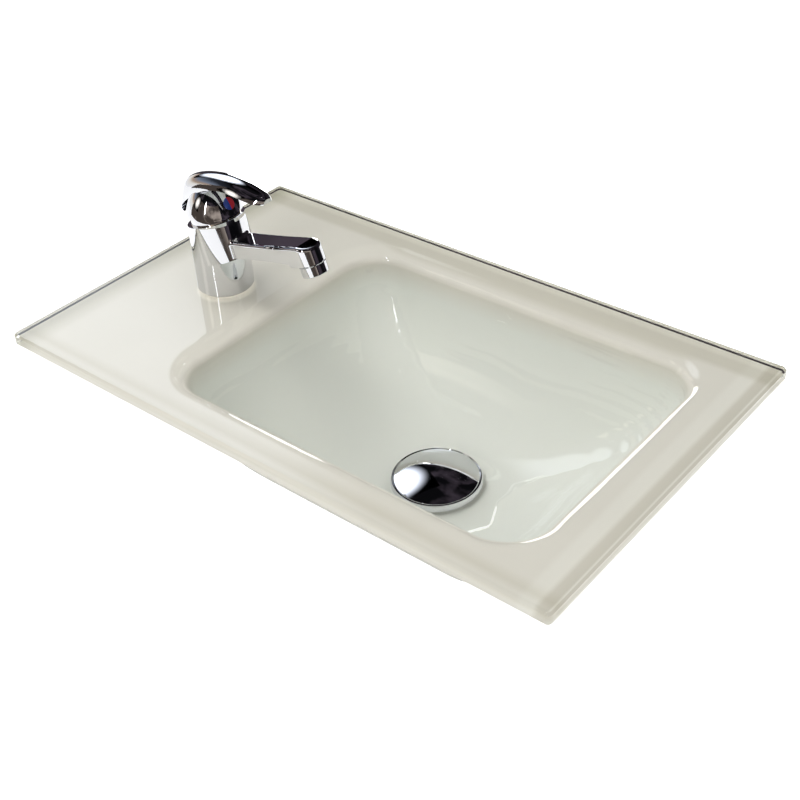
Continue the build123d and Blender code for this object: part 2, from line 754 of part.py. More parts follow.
# Cartridge base: round plate with two ports, each counterbored below for its seal
with BuildPart() as cartridge_base:
    with BuildSketch(head_plane.offset(port_seal_rise - chamber_depth)):
        Circle(housing_radius)
        with Locations((-port_u, port_v), (-port_u, -port_v)):
            Circle(port_radius, mode=Mode.SUBTRACT)
    extrude(amount=chamber_depth - port_seal_rise + base_plate_top)
    with BuildSketch(head_plane.offset(port_seal_rise - chamber_depth)):
        with Locations((-port_u, port_v), (-port_u, -port_v)):
            Circle(port_seal_radius)
    extrude(amount=port_seal_depth - port_seal_rise, mode=Mode.SUBTRACT)
cartridge_base.part.label = "cartridge_base"
export_step(cartridge_base.part, "parts/cartridge_base.step")

# Port seals: two rubber rings between the base plate and the chamber's floor
with BuildPart() as cartridge_base_seals:
    with BuildSketch(head_plane.offset(-chamber_depth)):
        with Locations((-port_u, port_v), (-port_u, -port_v)):
            Circle(port_seal_radius)
            Circle(port_radius, mode=Mode.SUBTRACT)
    extrude(amount=port_seal_depth)
cartridge_base_seals.part.label = "cartridge_base_seals"
export_step(cartridge_base_seals.part, "parts/cartridge_base_seals.step")

# Cartridge housing: cup turned over the discs, with a neck and an outlet window
head_axis = Axis((tap_x, 0, pivot_z), tuple(head_plane.z_dir))
with BuildPart() as cartridge_housing:
    with BuildSketch(axis_plane):
        with BuildLine():
            Polyline(
                (housing_bore, base_plate_top),
                (housing_radius, base_plate_top),
                (housing_radius, -thread_depth),
                (neck_radius, -thread_depth),
                (neck_radius, neck_top),
                (neck_bore, neck_top),
                (neck_bore, -thread_depth - housing_wall),
                (housing_bore, -thread_depth - housing_wall),
                close=True,
            )
        make_face()
    revolve(axis=head_axis)
    window_origin = head_plane.from_local_coords(Vector(0, 0, window_height))
    window_plane = Plane(origin=window_origin, x_dir=(0, 1, 0), z_dir=head_plane.x_dir)
    with BuildSketch(window_plane):
        SlotOverall(window_width, window_slot)
    extrude(amount=chamber_radius, mode=Mode.SUBTRACT)
cartridge_housing.part.label = "cartridge_housing"
export_step(cartridge_housing.part, "parts/cartridge_housing.step")

# Fixed disc: ceramic disc with two inlet ports and a central outlet pocket
with BuildPart() as fixed_disc:
    with BuildSketch(head_plane.offset(base_plate_top)):
        Circle(disc_radius)
        with Locations((-port_u, port_v), (-port_u, -port_v)):
            Circle(port_radius, mode=Mode.SUBTRACT)
    extrude(amount=fixed_disc_top - base_plate_top)
    with BuildSketch(head_plane.offset(fixed_disc_top)):
        with Locations((disc_radius - port_radius, 0)):
            SlotOverall(outlet_slot_length, outlet_slot_width)
    extrude(amount=-outlet_slot_depth, mode=Mode.SUBTRACT)
fixed_disc.part.label = "fixed_disc"
export_step(fixed_disc.part, "parts/fixed_disc.step")

# Moving disc: ceramic disc with a mixing hollow below; at rest it stands back from the middle
rest_angle = math.radians(cartridge_lean - hub_lean)
disc_rest = -spindle_arm * math.sin(rest_angle)
with BuildPart() as moving_disc:
    with BuildSketch(head_plane.offset(fixed_disc_top + disc_film)):
        with Locations((disc_rest, 0)):
            Circle(moving_disc_radius)
    extrude(amount=moving_disc_top - fixed_disc_top - disc_film)
    with BuildSketch(head_plane.offset(fixed_disc_top + disc_film)):
        with Locations((disc_rest + mixing_hollow_shift, 0)):
            Circle(mixing_hollow_radius)
    extrude(amount=mixing_hollow_depth, mode=Mode.SUBTRACT)
moving_disc.part.label = "moving_disc"
export_step(moving_disc.part, "parts/moving_disc.step")

# Disc carrier: plastic plate on the moving disc with a narrow block that takes the spindle's ball
with BuildPart() as disc_carrier:
    with BuildSketch(head_plane.offset(moving_disc_top)):
        with Locations((disc_rest, 0)):
            Circle(moving_disc_radius)
    extrude(amount=carrier_plate_top - moving_disc_top)
    with BuildSketch(head_plane.offset(carrier_plate_top)):
        with Locations((disc_rest, 0)):
            Rectangle(carrier_block_length, 2 * (rotor_slot_half - carrier_play))
    extrude(amount=carrier_boss_top - carrier_plate_top)
    with BuildSketch(head_plane.offset(carrier_boss_top)):
        with Locations((disc_rest, 0)):
            Circle(ball_radius + ball_play)
    extrude(amount=-pocket_depth, mode=Mode.SUBTRACT)
disc_carrier.part.label = "disc_carrier"
export_step(disc_carrier.part, "parts/disc_carrier.step")

# Cartridge rotor: flanged sleeve that turns in the neck, slotted for the spindle and cross-drilled
pin_plane = Plane(origin=(tap_x, 0, pivot_z), x_dir=head_plane.x_dir, z_dir=(0, 1, 0))
rotor_radius = neck_bore - running_play
with BuildPart() as cartridge_rotor:
    with BuildSketch(head_plane.offset(rotor_flange_bottom)):
        Circle(rotor_flange_radius)
    extrude(amount=-thread_depth - housing_wall - disc_film - rotor_flange_bottom)
    with BuildSketch(head_plane.offset(rotor_flange_bottom)):
        Circle(rotor_radius)
    extrude(amount=rotor_top - rotor_flange_bottom)
    with BuildSketch(head_plane.offset(rotor_flange_bottom)):
        Rectangle(2 * rotor_slot_length, 2 * rotor_slot_half)
    extrude(amount=rotor_top - rotor_flange_bottom, mode=Mode.SUBTRACT)
    with BuildSketch(pin_plane):
        Circle(pin_radius)
    extrude(amount=rotor_radius, both=True, mode=Mode.SUBTRACT)
cartridge_rotor.part.label = "cartridge_rotor"
export_step(cartridge_rotor.part, "parts/cartridge_rotor.step")

# Pivot pin: plain steel pin, pressed across the rotor
with BuildPart() as pivot_pin:
    with BuildSketch(pin_plane):
        Circle(pin_radius)
    extrude(amount=rotor_radius - carrier_play, both=True)
pivot_pin.part.label = "pivot_pin"
export_step(pivot_pin.part, "parts/pivot_pin.step")

# Lever spindle: square brass bar, necked below to a ball; it hangs on the pin
hub_plane = leaning(hub_lean)
hub_side = side_view(hub_plane)
hub_axis = Axis((tap_x, 0, pivot_z), tuple(hub_plane.z_dir))
with BuildPart() as lever_spindle:
    with BuildSketch(hub_plane.offset(-spindle_half)):
        Rectangle(2 * spindle_half, 2 * spindle_half)
    extrude(amount=spindle_half + spindle_top)
    with BuildSketch(hub_plane.offset(-spindle_arm)):
        Circle(spindle_neck_radius)
    extrude(amount=spindle_arm - spindle_half)
    with Locations(hub_plane.offset(-spindle_arm)):
        Sphere(ball_radius)
    with BuildSketch(pin_plane):
        Circle(pin_radius + running_play)
    extrude(amount=spindle_half, both=True, mode=Mode.SUBTRACT)
lever_spindle.part.label = "lever_spindle"
export_step(lever_spindle.part, "parts/lever_spindle.step")

# Cartridge nut: ring nut with an outside thread below and a hexagon above
with BuildPart() as cartridge_nut:
    with BuildSketch(head_plane.offset(-thread_depth)):
        Circle(thread_radius - thread_play)
    extrude(amount=thread_depth)
    with BuildSketch(head_plane):
        RegularPolygon(nut_hex_flats / 2, 6, major_radius=False)
    extrude(amount=nut_hex_height)
    with BuildSketch(head_plane.offset(-thread_depth)):
        Circle(neck_radius + neck_play)
    extrude(amount=thread_depth + nut_hex_height, mode=Mode.SUBTRACT)
cartridge_nut.part.label = "cartridge_nut"
export_step(cartridge_nut.part, "parts/cartridge_nut.step")

# Neck cover: thin chromed zone of a sphere about the lever's pivot, standing on the nut
with BuildPart() as neck_cover:
    with BuildSketch(axis_plane):
        with BuildLine():
            inner_radius = cover_radius - cover_wall
            outer_top = (math.sqrt(cover_radius**2 - cover_top**2), cover_top)
            inner_top = (math.sqrt(inner_radius**2 - cover_top**2), cover_top)
            RadiusArc((cover_radius, 0), outer_top, -cover_radius)
            Line(outer_top, inner_top)
            RadiusArc(inner_top, (inner_radius, 0), inner_radius)
            Line((inner_radius, 0), (cover_radius, 0))
        make_face()
    revolve(axis=head_axis)
neck_cover.part.label = "neck_cover"
export_step(neck_cover.part, "parts/neck_cover.step")

# Lever: domed hub and arched strap in one casting, hollow below to swing over the cover
skirt_angle = math.degrees(math.asin((skirt_height - hub_centre) / hub_height))
skirt_radius = hub_radius * math.cos(math.radians(skirt_angle))
strap_points = (strap_back, strap_shoulder, strap_arch, strap_crest, strap_tip)
strap_spine = Spline(
    [(tap_x + reach, 0, top_z + height) for reach, height in strap_points],
    tangents=[(run, 0, climb) for run, climb in (strap_back_slope, strap_tip_slope)],
)
with BuildPart() as hub_dome:
    with BuildSketch(hub_side):
        with BuildLine():
            EllipticalCenterArc(
                (0, hub_centre), hub_radius, hub_height, start_angle=skirt_angle, arc_size=90 - skirt_angle
            )
            Line((0, hub_centre + hub_height), (0, skirt_height))
            Line((0, skirt_height), (skirt_radius, skirt_height))
        make_face()
    revolve(axis=hub_axis)

with BuildPart() as lever:
    for along, crown, half_width in strap_stations:
        station = Plane(origin=strap_spine @ along, x_dir=(0, 1, 0), z_dir=strap_spine % along)
        with BuildSketch(station):
            with BuildLine():
                ThreePointArc((-half_width, 0), (0, crown), (half_width, 0))
                Line((half_width, 0), (-half_width, 0))
            make_face()
    loft()
    add(hub_dome.part)
    split(bisect_by=hub_plane.offset(skirt_height), keep=Keep.TOP)
    mouth_height = skirt_height - drill_past
    with BuildSketch(hub_side):
        with BuildLine():
            mouth = (math.sqrt(cavity_radius**2 - mouth_height**2), mouth_height)
            ceiling = (math.sqrt(cavity_radius**2 - cavity_ceiling**2), cavity_ceiling)
            RadiusArc(mouth, ceiling, -cavity_radius)
            Polyline(
                ceiling,
                (boss_radius, cavity_ceiling),
                (boss_radius, boss_bottom),
                (0, boss_bottom),
                (0, mouth_height),
                mouth,
            )
        make_face()
    revolve(axis=hub_axis, mode=Mode.SUBTRACT)
    with BuildSketch(hub_plane):
        Rectangle(2 * spindle_half, 2 * spindle_half)
    extrude(amount=spindle_top, mode=Mode.SUBTRACT)
    mark_origin = hub_plane.from_local_coords(Vector(0, 0, mark_height))
    mark_plane = Plane(origin=mark_origin, x_dir=(0, 1, 0), z_dir=hub_plane.x_dir)
    with BuildSketch(mark_plane):
        Circle(grub_radius + thread_play)
    extrude(amount=hub_radius, mode=Mode.SUBTRACT)
    mark_face = hub_radius * math.sqrt(1 - ((mark_height - hub_centre) / hub_height) ** 2)
    mark_slope = math.atan(hub_radius**2 * (mark_height - hub_centre) / (hub_height**2 * mark_face))
    pocket_plane = Plane(
        origin=mark_plane.origin + hub_plane.x_dir * mark_face,
        x_dir=(0, 1, 0),
        z_dir=hub_plane.x_dir * math.cos(mark_slope) + hub_plane.z_dir * math.sin(mark_slope),
    )
    with BuildSketch(pocket_plane.offset(-mark_depth)):
        Circle(mark_radius)
    extrude(amount=hub_radius, mode=Mode.SUBTRACT)
lever.part.label = "lever"
export_step(lever.part, "parts/lever.step")

# Grub screw: headless set screw with a hexagon socket, bearing on the spindle
with BuildPart() as grub_screw:
    with BuildSketch(mark_plane.offset(spindle_half)):
        Circle(grub_radius)
    extrude(amount=grub_length)
    with BuildSketch(mark_plane.offset(spindle_half + grub_length)):
        RegularPolygon(grub_radius / 2, 6, major_radius=False)
    extrude(amount=-grub_radius, mode=Mode.SUBTRACT)
grub_screw.part.label = "grub_screw"
export_step(grub_screw.part, "parts/grub_screw.step")

# Indicator plug: round two-colour plug pressed in over the screw, its face follows the dome
with BuildPart() as indicator_plug:
    with BuildSketch(pocket_plane.offset(-mark_depth)):
        Circle(mark_radius)
    extrude(amount=mark_radius)
    add(hub_dome.part, mode=Mode.INTERSECT)
indicator_plug.part.label = "indicator_plug"
export_step(indicator_plug.part, "parts/indicator_plug.step")

# Mounting stud: threaded rod screwed into the column's foot
with BuildPart() as mounting_stud:
    with BuildSketch(Plane(origin=(tap_x + stud_offset, 0, stud_bottom_z))):
        Circle(stud_radius)
    extrude(amount=column_base_z + stud_bite - stud_bottom_z)
    chamfer(mounting_stud.edges().filter_by(GeomType.CIRCLE), stud_chamfer)
mounting_stud.part.label = "mounting_stud"
export_step(mounting_stud.part, "parts/mounting_stud.step")

# Horseshoe washers: a rubber one against the glass, a steel one under it, open for the hoses
washer_z = glass_back_z
with BuildPart() as horseshoe_rubber_washer:
    with BuildSketch(Plane(origin=(tap_x, 0, washer_z))):
        Circle(horseshoe_radius)
        with Locations((horseshoe_slot_end - horseshoe_radius, 0)):
            Rectangle(2 * horseshoe_radius, 2 * horseshoe_slot_half, mode=Mode.SUBTRACT)
        with Locations((stud_offset, 0)):
            Circle(stud_radius + washer_play, mode=Mode.SUBTRACT)
    extrude(amount=-rubber_washer_thickness)
horseshoe_rubber_washer.part.label = "horseshoe_rubber_washer"
export_step(horseshoe_rubber_washer.part, "parts/horseshoe_rubber_washer.step")

with BuildPart() as horseshoe_steel_washer:
    with BuildSketch(Plane(origin=(tap_x, 0, washer_z - rubber_washer_thickness))):
        Circle(horseshoe_radius)
        with Locations((horseshoe_slot_end - horseshoe_radius, 0)):
            Rectangle(2 * horseshoe_radius, 2 * horseshoe_slot_half, mode=Mode.SUBTRACT)
        with Locations((stud_offset, 0)):
            Circle(stud_radius + washer_play, mode=Mode.SUBTRACT)
    extrude(amount=-steel_washer_thickness)
horseshoe_steel_washer.part.label = "horseshoe_steel_washer"
export_step(horseshoe_steel_washer.part, "parts/horseshoe_steel_washer.step")

# Stud nut: hexagon nut under the steel washer
stud_nut_top = washer_z - rubber_washer_thickness - steel_washer_thickness
with BuildPart() as stud_nut:
    with BuildSketch(Plane(origin=(tap_x + stud_offset, 0, stud_nut_top))):
        RegularPolygon(stud_nut_flats / 2, 6, major_radius=False)
        Circle(stud_radius + thread_play, mode=Mode.SUBTRACT)
    extrude(amount=-stud_nut_height)
stud_nut.part.label = "stud_nut"
export_step(stud_nut.part, "parts/stud_nut.step")
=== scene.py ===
from math import cos, pi, radians, sin

import bmesh
import bpy
from mathutils import Matrix, Vector


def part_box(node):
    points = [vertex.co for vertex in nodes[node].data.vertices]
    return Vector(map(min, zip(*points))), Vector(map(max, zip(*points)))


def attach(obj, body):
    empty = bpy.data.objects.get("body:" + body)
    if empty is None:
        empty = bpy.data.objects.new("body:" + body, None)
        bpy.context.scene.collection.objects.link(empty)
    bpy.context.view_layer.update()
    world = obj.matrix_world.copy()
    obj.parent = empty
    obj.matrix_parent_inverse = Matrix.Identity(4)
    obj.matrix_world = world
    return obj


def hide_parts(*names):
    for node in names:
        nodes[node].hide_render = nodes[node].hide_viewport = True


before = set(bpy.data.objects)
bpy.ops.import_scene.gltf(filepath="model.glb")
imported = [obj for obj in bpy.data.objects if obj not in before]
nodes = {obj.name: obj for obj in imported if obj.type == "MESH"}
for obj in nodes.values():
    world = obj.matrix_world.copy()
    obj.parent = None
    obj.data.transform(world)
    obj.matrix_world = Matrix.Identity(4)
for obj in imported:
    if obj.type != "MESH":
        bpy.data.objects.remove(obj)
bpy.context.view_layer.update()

scene = bpy.context.scene

# Glass basin: one sheet of extra-white float glass, 10 mm thick, cut and drilled, its edges ground and
# polished, then heated until its middle slumps into a mould as the bowl. Its underside is a material of its
# own, because the lacquer on the back touches the glass and so shows through it with no air between.

MM = 0.001

slab_low, slab_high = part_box("glass_basin")
coat_low, coat_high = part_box("back_lacquer")
gasket_low, gasket_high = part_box("waste_flange_gasket")
seal_low, seal_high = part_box("tap_base_seal")
HALF_LENGTH = slab_high.x
HALF_WIDTH = slab_high.y
TOP = slab_high.z
UNDERSIDE = coat_high.z
ARRIS = HALF_LENGTH - coat_high.x  # the bevel that is ground on the slab's edges
BOWL_DEPTH = TOP - gasket_low.z
WALL = gasket_low.z - slab_low.z
TAP = Vector(((seal_low.x + seal_high.x) / 2, 0))
DRAIN = Vector(((gasket_low.x + gasket_high.x) / 2, 0))
TAP_HOLE = 17.5 * MM
DRAIN_HOLE = 23 * MM


def linear(hex_colour):
    """An sRGB hex colour as the linear red, green, blue and alpha that the shader takes."""
    channels = [int(hex_colour[i:i + 2], 16) / 255 for i in (1, 3, 5)]
    return [c / 12.92 if c <= 0.04045 else ((c + 0.055) / 1.055) ** 2.4 for c in channels] + [1]


def new_material(name):
    """A material with no nodes yet."""
    material = bpy.data.materials.new(name)
    material.use_nodes = True
    material.node_tree.nodes.clear()
    return material


def add_node(material, kind, settings=None, links=None):
    """One shader node. Settings are its properties or its sockets' values, and links are socket: source."""
    tree = material.node_tree
    node = tree.nodes.new(kind)
    for key, value in (settings or {}).items():
        if isinstance(key, str) and hasattr(node, key):
            setattr(node, key, value)
        else:
            node.inputs[key].default_value = value
    for key, source in (links or {}).items():
        tree.links.new(source, node.inputs[key])
    return node


def wave_scale(spacing):
    """The scale at which the wave texture repeats at this spacing. At scale 1 it has 20 radians a metre."""
    return 2 * pi / (20 * spacing)


# Polished float glass: clear and smooth, with a breath of green that only a long way through it shows. Where
# it slumped it is uneven, most of all to the right. The real ripple is too slight to show, so it is drawn as
# far apart and as deep as it needs to be to bend what the wall mirrors.
RIPPLE_SPACING = 9 * MM
RIPPLE_DEPTH = 0.55 * MM
RIPPLE_STARTS = TOP - 0.2 * MM
RIPPLE_IS_FULL = TOP - 12.5 * MM
CALM_UP_TO = 90 * MM
ROUGH_FROM = 170 * MM
CALM_SHARE = 0.25
glass = new_material("polished float glass")
place = add_node(glass, "ShaderNodeTexCoord")
slump_wave = add_node(glass, "ShaderNodeTexWave", {
    "wave_type": "BANDS", "bands_direction": "Z", "Scale": wave_scale(RIPPLE_SPACING), "Distortion": 8.0,
    "Detail": 2.0, "Detail Scale": 0.25}, {"Vector": place.outputs["Object"]})
position = add_node(glass, "ShaderNodeSeparateXYZ", None, {0: place.outputs["Object"]})
in_bowl = add_node(glass, "ShaderNodeMapRange", {
    "From Min": RIPPLE_STARTS, "From Max": RIPPLE_IS_FULL}, {"Value": position.outputs["Z"]})
to_right = add_node(glass, "ShaderNodeMapRange", {
    "From Min": CALM_UP_TO, "From Max": ROUGH_FROM, "To Min": CALM_SHARE}, {"Value": position.outputs["X"]})
uneven = add_node(glass, "ShaderNodeMath", {"operation": "MULTIPLY"}, {
    0: in_bowl.outputs[0], 1: to_right.outputs[0]})
waves = add_node(glass, "ShaderNodeMath", {"operation": "MULTIPLY"}, {
    0: slump_wave.outputs["Fac"], 1: uneven.outputs[0]})
slumped = add_node(glass, "ShaderNodeBump", {"Strength": 1.0, "Distance": RIPPLE_DEPTH}, {
    "Height": waves.outputs[0]})
clear = add_node(glass, "ShaderNodeBsdfPrincipled", {
    "Base Color": linear("#FFFFFF"), "Roughness": 0.0, "IOR": 1.52, "Transmission Weight": 1.0}, {
    "Normal": slumped.outputs["Normal"]})

# A lamp's light and the light that the lacquer throws back pass straight through it, so that the lacquer is
# lit as in thin air.
rays = add_node(glass, "ShaderNodeLightPath")
lights_lacquer = add_node(glass, "ShaderNodeMath", {"operation": "MAXIMUM"}, {
    0: rays.outputs["Is Shadow Ray"], 1: rays.outputs["Is Diffuse Ray"]})
straight_through = add_node(glass, "ShaderNodeBsdfTransparent")
lit_glass = add_node(glass, "ShaderNodeMixShader", None, {
    0: lights_lacquer.outputs[0], 1: clear.outputs[0], 2: straight_through.outputs[0]})
green = add_node(glass, "ShaderNodeVolumeAbsorption", {"Color": linear("#E6F3EA"), "Density": 6.0})
add_node(glass, "ShaderNodeOutputMaterial", None, {
    "Surface": lit_glass.outputs[0], "Volume": green.outputs[0]})

# Lacquer as the glass shows it: warm off-white, with the faint cloud of a rolled coat.
CLOUD = 60 * MM
lacquer_seen = new_material("lacquer seen through glass")
place = add_node(lacquer_seen, "ShaderNodeTexCoord")
position = add_node(lacquer_seen, "ShaderNodeSeparateXYZ", None, {0: place.outputs["Object"]})
cloud = add_node(lacquer_seen, "ShaderNodeTexNoise", {"Scale": 1 / CLOUD, "Detail": 3.0}, {
    "Vector": place.outputs["Object"]})
coat = add_node(lacquer_seen, "ShaderNodeMix", {
    "data_type": "RGBA", 6: linear("#E2DED5"), 7: linear("#E8E4DB")}, {0: cloud.outputs["Fac"]})


def set_stops(ramp, stops):
    """Gives a colour ramp these stops, each of them a place along it and a colour."""
    elements = ramp.color_ramp.elements
    while len(elements) < len(stops):
        elements.new(0.5)
    for element, (along, colour) in zip(elements, stops):
        element.position = along
        element.color = linear(colour)


# Painted light: the bands, dim and pale by turns, that light entering by the slab's polished edges lays on
# the lacquer are painted into its colour. Each edge has its own, given from the edge inwards.
EDGE_BAND = 28 * MM
right_painted_bands = (
    (0.0, "#E4E2DC"), (0.12, "#E4E2DC"), (0.17, "#FAFAF8"), (0.22, "#E3E1DA"),
    (0.42, "#E8E6E0"), (0.55, "#FCFCFA"), (0.85, "#FAFAF8"), (1.0, "#F4F3F0"))
left_painted_bands = ((0.0, "#DADAD4"), (0.25, "#DEDED8"), (0.4, "#EAEAE5"), (0.9, "#FFFFFF"))
back_painted_bands = ((0.0, "#FBFBF7"), (0.22, "#FBFBF7"), (0.36, "#EEEDE8"), (0.68, "#EEEDE8"), (0.9, "#FFFFFF"))
front_painted_bands = ((0.0, "#F0F0EC"), (0.3, "#FFFFFF"), (0.5, "#F4F3EF"), (0.8, "#FFFFFF"))
coat_with_painted_bands = coat
for axis, edge, inner_end, bands in (
        ("X", HALF_LENGTH, HALF_LENGTH - EDGE_BAND, right_painted_bands),
        ("X", -HALF_LENGTH, EDGE_BAND - HALF_LENGTH, left_painted_bands),
        ("Y", HALF_WIDTH, HALF_WIDTH - EDGE_BAND, back_painted_bands),
        ("Y", -HALF_WIDTH, EDGE_BAND - HALF_WIDTH, front_painted_bands)):
    inset = add_node(lacquer_seen, "ShaderNodeMapRange", {"From Min": edge, "From Max": inner_end}, {
        "Value": position.outputs[axis]})
    painted_edge_light = add_node(lacquer_seen, "ShaderNodeValToRGB", None, {0: inset.outputs[0]})
    set_stops(painted_edge_light, bands)
    coat_with_painted_bands = add_node(lacquer_seen, "ShaderNodeMix", {
        "data_type": "RGBA", "blend_type": "MULTIPLY", 0: 1.0}, {
        6: coat_with_painted_bands.outputs[2], 7: painted_edge_light.outputs["Color"]})

# Painted light: down in the bowl the lacquer is painted greener, standing in for light that has crossed
# the glass more than once.
GREEN_STARTS = TOP - 12.5 * MM
GREEN_IS_FULL = TOP - 32.5 * MM
sunk = add_node(lacquer_seen, "ShaderNodeMapRange", {"From Min": GREEN_STARTS, "From Max": GREEN_IS_FULL}, {
    "Value": position.outputs["Z"]})
painted_bowl_green = add_node(lacquer_seen, "ShaderNodeMix", {"data_type": "RGBA", 7: linear("#E1E2DA")}, {
    0: sunk.outputs[0], 6: coat_with_painted_bands.outputs[2]})

# Painted light: under the mixer's foot and the waste's flange the lacquer glows, an emission that stands in
# for the light that travels sideways in the sheet.
UNDER_FOOT = 23 * MM
UNDER_FLANGE = 32 * MM
FADES_OUTSIDE = 3 * MM
FADES_INSIDE = 2 * MM
PAINTED_GLOW_STRENGTH = 0.3
plan = add_node(lacquer_seen, "ShaderNodeCombineXYZ", None, {
    0: position.outputs["X"], 1: position.outputs["Y"]})
glow_rings = []
for spot, radius in ((TAP, UNDER_FOOT), (DRAIN, UNDER_FLANGE)):
    away = add_node(lacquer_seen, "ShaderNodeVectorMath", {"operation": "DISTANCE", 1: (spot.x, spot.y, 0)}, {
        0: plan.outputs[0]})
    glow_rings.append(add_node(lacquer_seen, "ShaderNodeMapRange", {
        "interpolation_type": "SMOOTHSTEP", "From Min": radius + FADES_OUTSIDE,
        "From Max": radius - FADES_INSIDE, "To Max": PAINTED_GLOW_STRENGTH}, {"Value": away.outputs["Value"]}))
painted_sideways_glow = add_node(lacquer_seen, "ShaderNodeMath", {"operation": "MAXIMUM"}, {
    0: glow_rings[0].outputs[0], 1: glow_rings[1].outputs[0]})
# The base colour carries the painted edge bands and bowl green, and the emission the painted glow.
paint = add_node(lacquer_seen, "ShaderNodeBsdfPrincipled", {"Roughness": 0.8, "Specular IOR Level": 0.0}, {
    "Base Color": painted_bowl_green.outputs[2], "Emission Color": painted_bowl_green.outputs[2],
    "Emission Strength": painted_sideways_glow.outputs[0]})
add_node(lacquer_seen, "ShaderNodeOutputMaterial", None, {"Surface": paint.outputs[0]})

# The mould gives the bowl superelliptic levels, from a rolled rim down to a small flat floor round the drain.
BOWL_HALF_LENGTH = 156 * MM
BOWL_HALF_WIDTH = 113 * MM
BOWL_CORNER = 32 * MM
FLOOR_HALF = 40 * MM
FLOOR_CORNER = 39 * MM
WALL_START = 16 * MM  # below the deck, where the rim has rolled over into the wall
FULLNESS = 1.8  # the power of the wall's superellipse, which would be an ellipse at 2
RIM_ROLL = 15 * MM
BACK_ROLL = 4.5 * MM
SLAB_CORNER = 4 * MM
SLAB_MIDDLE = Vector((0, 0))
GUARD = 1.5 * MM  # a narrow flat band beside the rim and in the floor, where the curved shading ends
BACK_GAP = 0.05 * MM  # keeps the washers that press on the back from flickering through it
CORNER_STEPS = 24
SIDE_STEPS = 16
HOLE_STEPS = 96
ROLL_STEPS = 12
DEGREES_A_LEVEL = 3
LACQUERED = 1  # the material slot of the faces that the lacquer touches


def round_ring(shape, centre, half_length, half_width, corner, z):
    """Points round a rectangle with round corners. Every ring has as many, so that any two can be joined."""
    ring = []
    for quarter, (x_side, y_side) in enumerate(((1, 1), (-1, 1), (-1, -1), (1, -1))):
        middle = Vector((
            centre.x + x_side * (half_length - corner),
            centre.y + y_side * (half_width - corner)))
        for step in range(CORNER_STEPS + 1):
            turn = radians(90 * quarter + 90 * step / CORNER_STEPS)
            ring.append((middle.x + corner * cos(turn), middle.y + corner * sin(turn)))
        x, y = ring[-1]
        along = half_width - corner if quarter % 2 else half_length - corner
        for step in range(1, SIDE_STEPS):
            run = 2 * along * step / SIDE_STEPS
            ring.append(((x - run, y), (x, y - run), (x + run, y), (x, y + run))[quarter])
    return [shape.verts.new((x, y, z)) for x, y in ring]


def circle(shape, centre, radius, z):
    """Points round a hole."""
    turns = [2 * pi * step / HOLE_STEPS for step in range(HOLE_STEPS)]
    return [
        shape.verts.new((centre.x + radius * cos(turn), centre.y + radius * sin(turn), z))
        for turn in turns]


def join_rings(shape, ring, other, slot=0):
    """The band of faces between two rings, in this material slot."""
    for i in range(len(ring)):
        face = shape.faces.new((ring[i - 1], ring[i], other[i], other[i - 1]))
        face.material_index = slot


def fill_flat(shape, rings, slot=0):
    """The flat sheet inside the first ring and outside the others, in this material slot."""
    edges = []
    for ring in rings:
        for i in range(len(ring)):
            pair = (ring[i - 1], ring[i])
            edges.append(shape.edges.get(pair) or shape.edges.new(pair))
    filled = bmesh.ops.triangle_fill(shape, use_beauty=True, edges=edges)
    for face in filled["geom"]:
        if isinstance(face, bmesh.types.BMFace):
            face.material_index = slot


def bowl_level(angle, wall):
    """Half length, half width, corner radius and height of a level, a wall outside the bowl's inner face."""
    across = cos(radians(angle)) ** (2 / FULLNESS)
    down = sin(radians(angle)) ** (2 / FULLNESS)
    return (
        FLOOR_HALF + (BOWL_HALF_LENGTH - FLOOR_HALF) * across + wall,
        FLOOR_HALF + (BOWL_HALF_WIDTH - FLOOR_HALF) * across + wall,
        FLOOR_CORNER + (BOWL_CORNER - FLOOR_CORNER) * across + wall,
        TOP - WALL_START - (BOWL_DEPTH + wall - WALL_START) * down)


def bowl_skin(shape, wall, flat_z, roll, tap_radius, drain_radius, slot=0):
    """One side of the sheet: deck, roll into the bowl, bowl wall and floor. Gives the rings left open."""
    edge = round_ring(
        shape, SLAB_MIDDLE, HALF_LENGTH - ARRIS, HALF_WIDTH - ARRIS, SLAB_CORNER - ARRIS, flat_z)
    tap = circle(shape, TAP, tap_radius, flat_z)
    half_length, half_width, corner = bowl_level(0, wall)[:3]
    spread = [(roll + GUARD, 0.0)]
    for step in range(ROLL_STEPS + 1):
        turn = radians(90 * step / ROLL_STEPS)
        spread.append((roll * (1 - sin(turn)), roll * (1 - cos(turn))))
    rows = [
        round_ring(shape, DRAIN, half_length + out, half_width + out, corner + out, flat_z - drop)
        for out, drop in spread]
    rows += [round_ring(shape, DRAIN, *bowl_level(angle, wall)) for angle in range(0, 90, DEGREES_A_LEVEL)]
    floor_length, floor_width, floor_corner, floor_z = bowl_level(90, wall)
    rows += [
        round_ring(shape, DRAIN, floor_length - inset, floor_width - inset, floor_corner - inset, floor_z)
        for inset in (0, GUARD)]
    drain = circle(shape, DRAIN, drain_radius, floor_z)
    for upper, lower in zip(rows, rows[1:]):
        join_rings(shape, upper, lower, slot)
    fill_flat(shape, (edge, tap, rows[0]), slot)
    fill_flat(shape, (rows[-1], drain), slot)
    return edge, tap, drain


def new_object(shape, name, *materials):
    """A mesh object of this shape with these materials."""
    mesh = bpy.data.meshes.new(name)
    shape.to_mesh(mesh)
    shape.free()
    for material in materials:
        mesh.materials.append(material)
    thing = bpy.data.objects.new(name, mesh)
    scene.collection.objects.link(thing)
    return thing


def smooth_object(shape, name, *materials):
    """The same, smooth but for the edges sharper than 30 degrees."""
    bmesh.ops.recalc_face_normals(shape, faces=shape.faces)
    thing = new_object(shape, name, *materials)
    thing.data.polygons.foreach_set("use_smooth", [True] * len(thing.data.polygons))
    thing.data.set_sharp_from_angle(angle=radians(30))
    return thing


